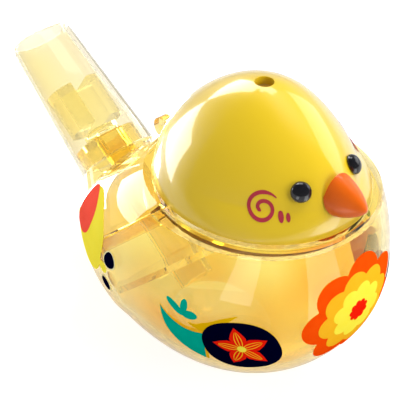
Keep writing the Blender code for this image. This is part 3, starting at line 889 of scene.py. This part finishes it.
for number in range(PETALS):
    angle = math.radians(FIRST_PETAL + 360 / PETALS * number)
    way = np.array((math.cos(angle), math.sin(angle)))
    side = np.array((-way[1], way[0]))
    path = [bloom + way * PETAL_LONG * share for share in (0.04, 0.25, 0.5, 0.75, 1)]
    printed(f"petal_{number}", stroke(path, (1.0, 3.1, 3.6, 2.2, 0.0)), FLANK, 4, red)
    for vein, spread in enumerate((-VEIN_SPREAD, 0, VEIN_SPREAD)):
        line = [
            bloom + way * VEIN_LONG * share + side * spread * math.sin(math.pi * share)
            for share in (0.15, 0.4, 0.7, 0.95)
        ]
        drawn = stroke(line, (0.16, 0.20, 0.18, 0.06), 24, 3)
        printed(f"vein_{number}_{vein}", drawn, FLANK, 5, gold)
printed("bloom_heart", disc(bloom, (0.95, 0.95)), FLANK, 6, lemon)
printed("sprig_0", disc((-1.3, 29.9), (2.5, 0.95), 143), FLANK, 2, teal)
printed("sprig_1", disc((0.9, 31.0), (1.9, 0.85), 80), FLANK, 2, teal)
printed("sprig_2", disc((2.2, 29.1), (1.9, 1.1), 12), FLANK, 2, teal)

# Rear: a bright field with one big petal, and two dark dots with pale rims, on both sides of the
# rear cap and over its seam.
printed("rear_field", disc((-1.2, 28.8), (9.8, 8.8)), REAR, 1, lemon)
printed("rear_petal", disc((-5.2, 31.2), (6.6, 4.6)), REAR, 2, blush)
RIM_WIDE = 0.3
for number, (centre, half) in enumerate((((11.3, 29.4), (1.5, 2.0)), ((9.7, 21.9), (1.4, 1.7)))):
    rim = (half[0] + RIM_WIDE, half[1] + RIM_WIDE)
    printed(f"dot_rim_{number}", disc(centre, rim), REAR, 2, cream)
    printed(f"dot_{number}", disc(centre, half), REAR, 3, navy)
printed("rear_patch", disc((9.4, 26.2), (1.3, 1.5)), REAR, 1, lemon)

# Cheeks: a curl and two dashes under each eye, printed on the head. The far ones lie further
# back, because the photograph shows none there.
FAR_BACK = 10.2
printed("curl", spiral((7.3, 54.3), 3.5, 0.7, 42, 560), CHEEK, 1, rose, near_only)
printed("curl", spiral((7.3 - FAR_BACK, 53.6), 3.5, 0.7, 42, 560), CHEEK, 1, rose, far_only)
for back, sides in ((0, near_only), (FAR_BACK, far_only)):
    printed("dash_0", disc((10.95 - back, 53.1), (0.55, 1.05), 12), CHEEK, 1, rose, sides)
    printed("dash_1", disc((12.4 - back, 53.0), (0.42, 0.80), 12), CHEEK, 1, rose, sides)

# Beak: a pointed plug with three rounded corners, of opaque orange plastic. It is moulded in one
# piece and pressed into the face by its peg.
BEAK_UP, BEAK_ROOT, BEAK_LONG = 0.0075, 0.0015, 0.0065
BEAK_HALF_WIDE, BEAK_HALF_HIGH = 0.0043, 0.0045
BEAK_POWER, BEAK_LOBE = 1.49, 0.072
BEAK_PEG, EYE_PEG, PEG_PAST_WALL = 0.0020, 0.0009, 0.0006
NEAR_TOP = 0.995
orange_paint = material("orange_gloss")
speck = orange_paint.ripple(300, 2)
orange_gloss = orange_paint.done(
    orange_paint.node(
        "BsdfPrincipled",
        inputs={
            "Base Color": orange_paint.mixed(speck, (0.78, 0.13, 0.002, 1), (0.70, 0.105, 0.001, 1)),
            "Roughness": 0.34 + 0.08 * speck,
            "Specular IOR Level": 0.25,
            "Coat Weight": 0.30,
            "Coat Roughness": 0.08,
            "Normal": orange_paint.bump(speck, 0.05, 0.0002),
        },
    )
)


def face_place(half_y, above_rim):
    """Point and outward normal of the face there."""
    flat = np.array([[half_y * 1000, (RIM_Z + above_rim) * 1000]])
    point, normal = pressed(head_skin, 0.0, flat, 0.0)
    return point[0], normal[0]


def ring_round(point, normal, distance, radius, count=64):
    """A ring about the line that leaves a point along a normal."""
    side = np.cross(normal, (0, 1, 0))
    side /= np.linalg.norm(side)
    other = np.cross(normal, side)
    x, y = oval(radius, radius, 2, np.linspace(0, 2 * math.pi, count, endpoint=False))
    return point + normal * distance + x[:, None] * side + y[:, None] * other


def head_block():
    """The head without its hollow, grown by the fit, which cuts the back of each plug."""
    rises = np.sin(np.linspace(0, NEAR_TOP, 50) * math.pi / 2) ** 1.5
    return loft("head_block", [head_point(rise, TURNS, -FIT) for rise in rises])


def peg_solid(point, normal, radius, end):
    """A round peg from just past the head's wall to a distance outside it."""
    ends = (-HEAD_WALL - PEG_PAST_WALL, end)
    return loft("peg", [ring_round(point, normal, along, radius) for along in ends])


beak_point, _ = face_place(0.0, BEAK_UP)
turn = np.linspace(0, 2 * math.pi, 72, endpoint=False)
lobe = 1 + BEAK_LOBE * np.cos(3 * (turn - math.pi / 2))
rings = []
for share in np.sin(np.linspace(0, NEAR_TOP, 40) * math.pi / 2):
    reach = quarter(share, BEAK_POWER) * lobe
    x = beak_point[0] - BEAK_ROOT + (BEAK_ROOT + BEAK_LONG) * share + 0 * turn
    y = BEAK_HALF_WIDE * reach * np.cos(turn)
    z = beak_point[2] + BEAK_HALF_HIGH * reach * np.sin(turn)
    rings.append(np.stack([x, y, z], axis=-1))
peg = peg_solid(beak_point, np.array((1.0, 0, 0)), BEAK_PEG, 0.0022)
beak = combined(loft("beak_plug", rings), [("DIFFERENCE", head_block()), ("UNION", peg)])
painted(beak, orange_gloss)
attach(beak, "root")
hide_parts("beak")

# Eyes: low domes of glossy black plastic, moulded with pegs and pressed into the head.
EYE_SIDE, EYE_UP = 0.0071, 0.0095
EYE_RADIUS, EYE_HIGH = 0.00215, 0.0016
black_paint = material("black_gloss")
dust = black_paint.ripple(500, 2)
black_gloss = black_paint.done(
    black_paint.node(
        "BsdfPrincipled",
        inputs={
            "Base Color": black_paint.mixed(dust, (0.006, 0.006, 0.009, 1), (0.010, 0.010, 0.013, 1)),
            "Roughness": 0.08 + 0.05 * dust,
            "Coat Weight": 0.2,
            "Coat Roughness": 0.03,
        },
    )
)
for name, side in (("eye_left", 1), ("eye_right", -1)):
    point, normal = face_place(EYE_SIDE, EYE_UP)
    point, normal = point * (1, side, 1), normal * (1, side, 1)
    rings = [ring_round(point, normal, -HEAD_WALL / 2, EYE_RADIUS)]
    for angle in np.linspace(0, 0.985, 24) * math.pi / 2:
        high, radius = EYE_HIGH * math.sin(angle), EYE_RADIUS * math.cos(angle)
        rings.append(ring_round(point, normal, FIT + high, radius))
    peg = peg_solid(point, normal, EYE_PEG, 0.0005)
    plug = loft(name + "_plug", rings)
    eye = combined(plug, [("DIFFERENCE", head_block()), ("UNION", peg)], sharp=50)
    painted(eye, black_gloss)
    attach(eye, "root")
    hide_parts(name)
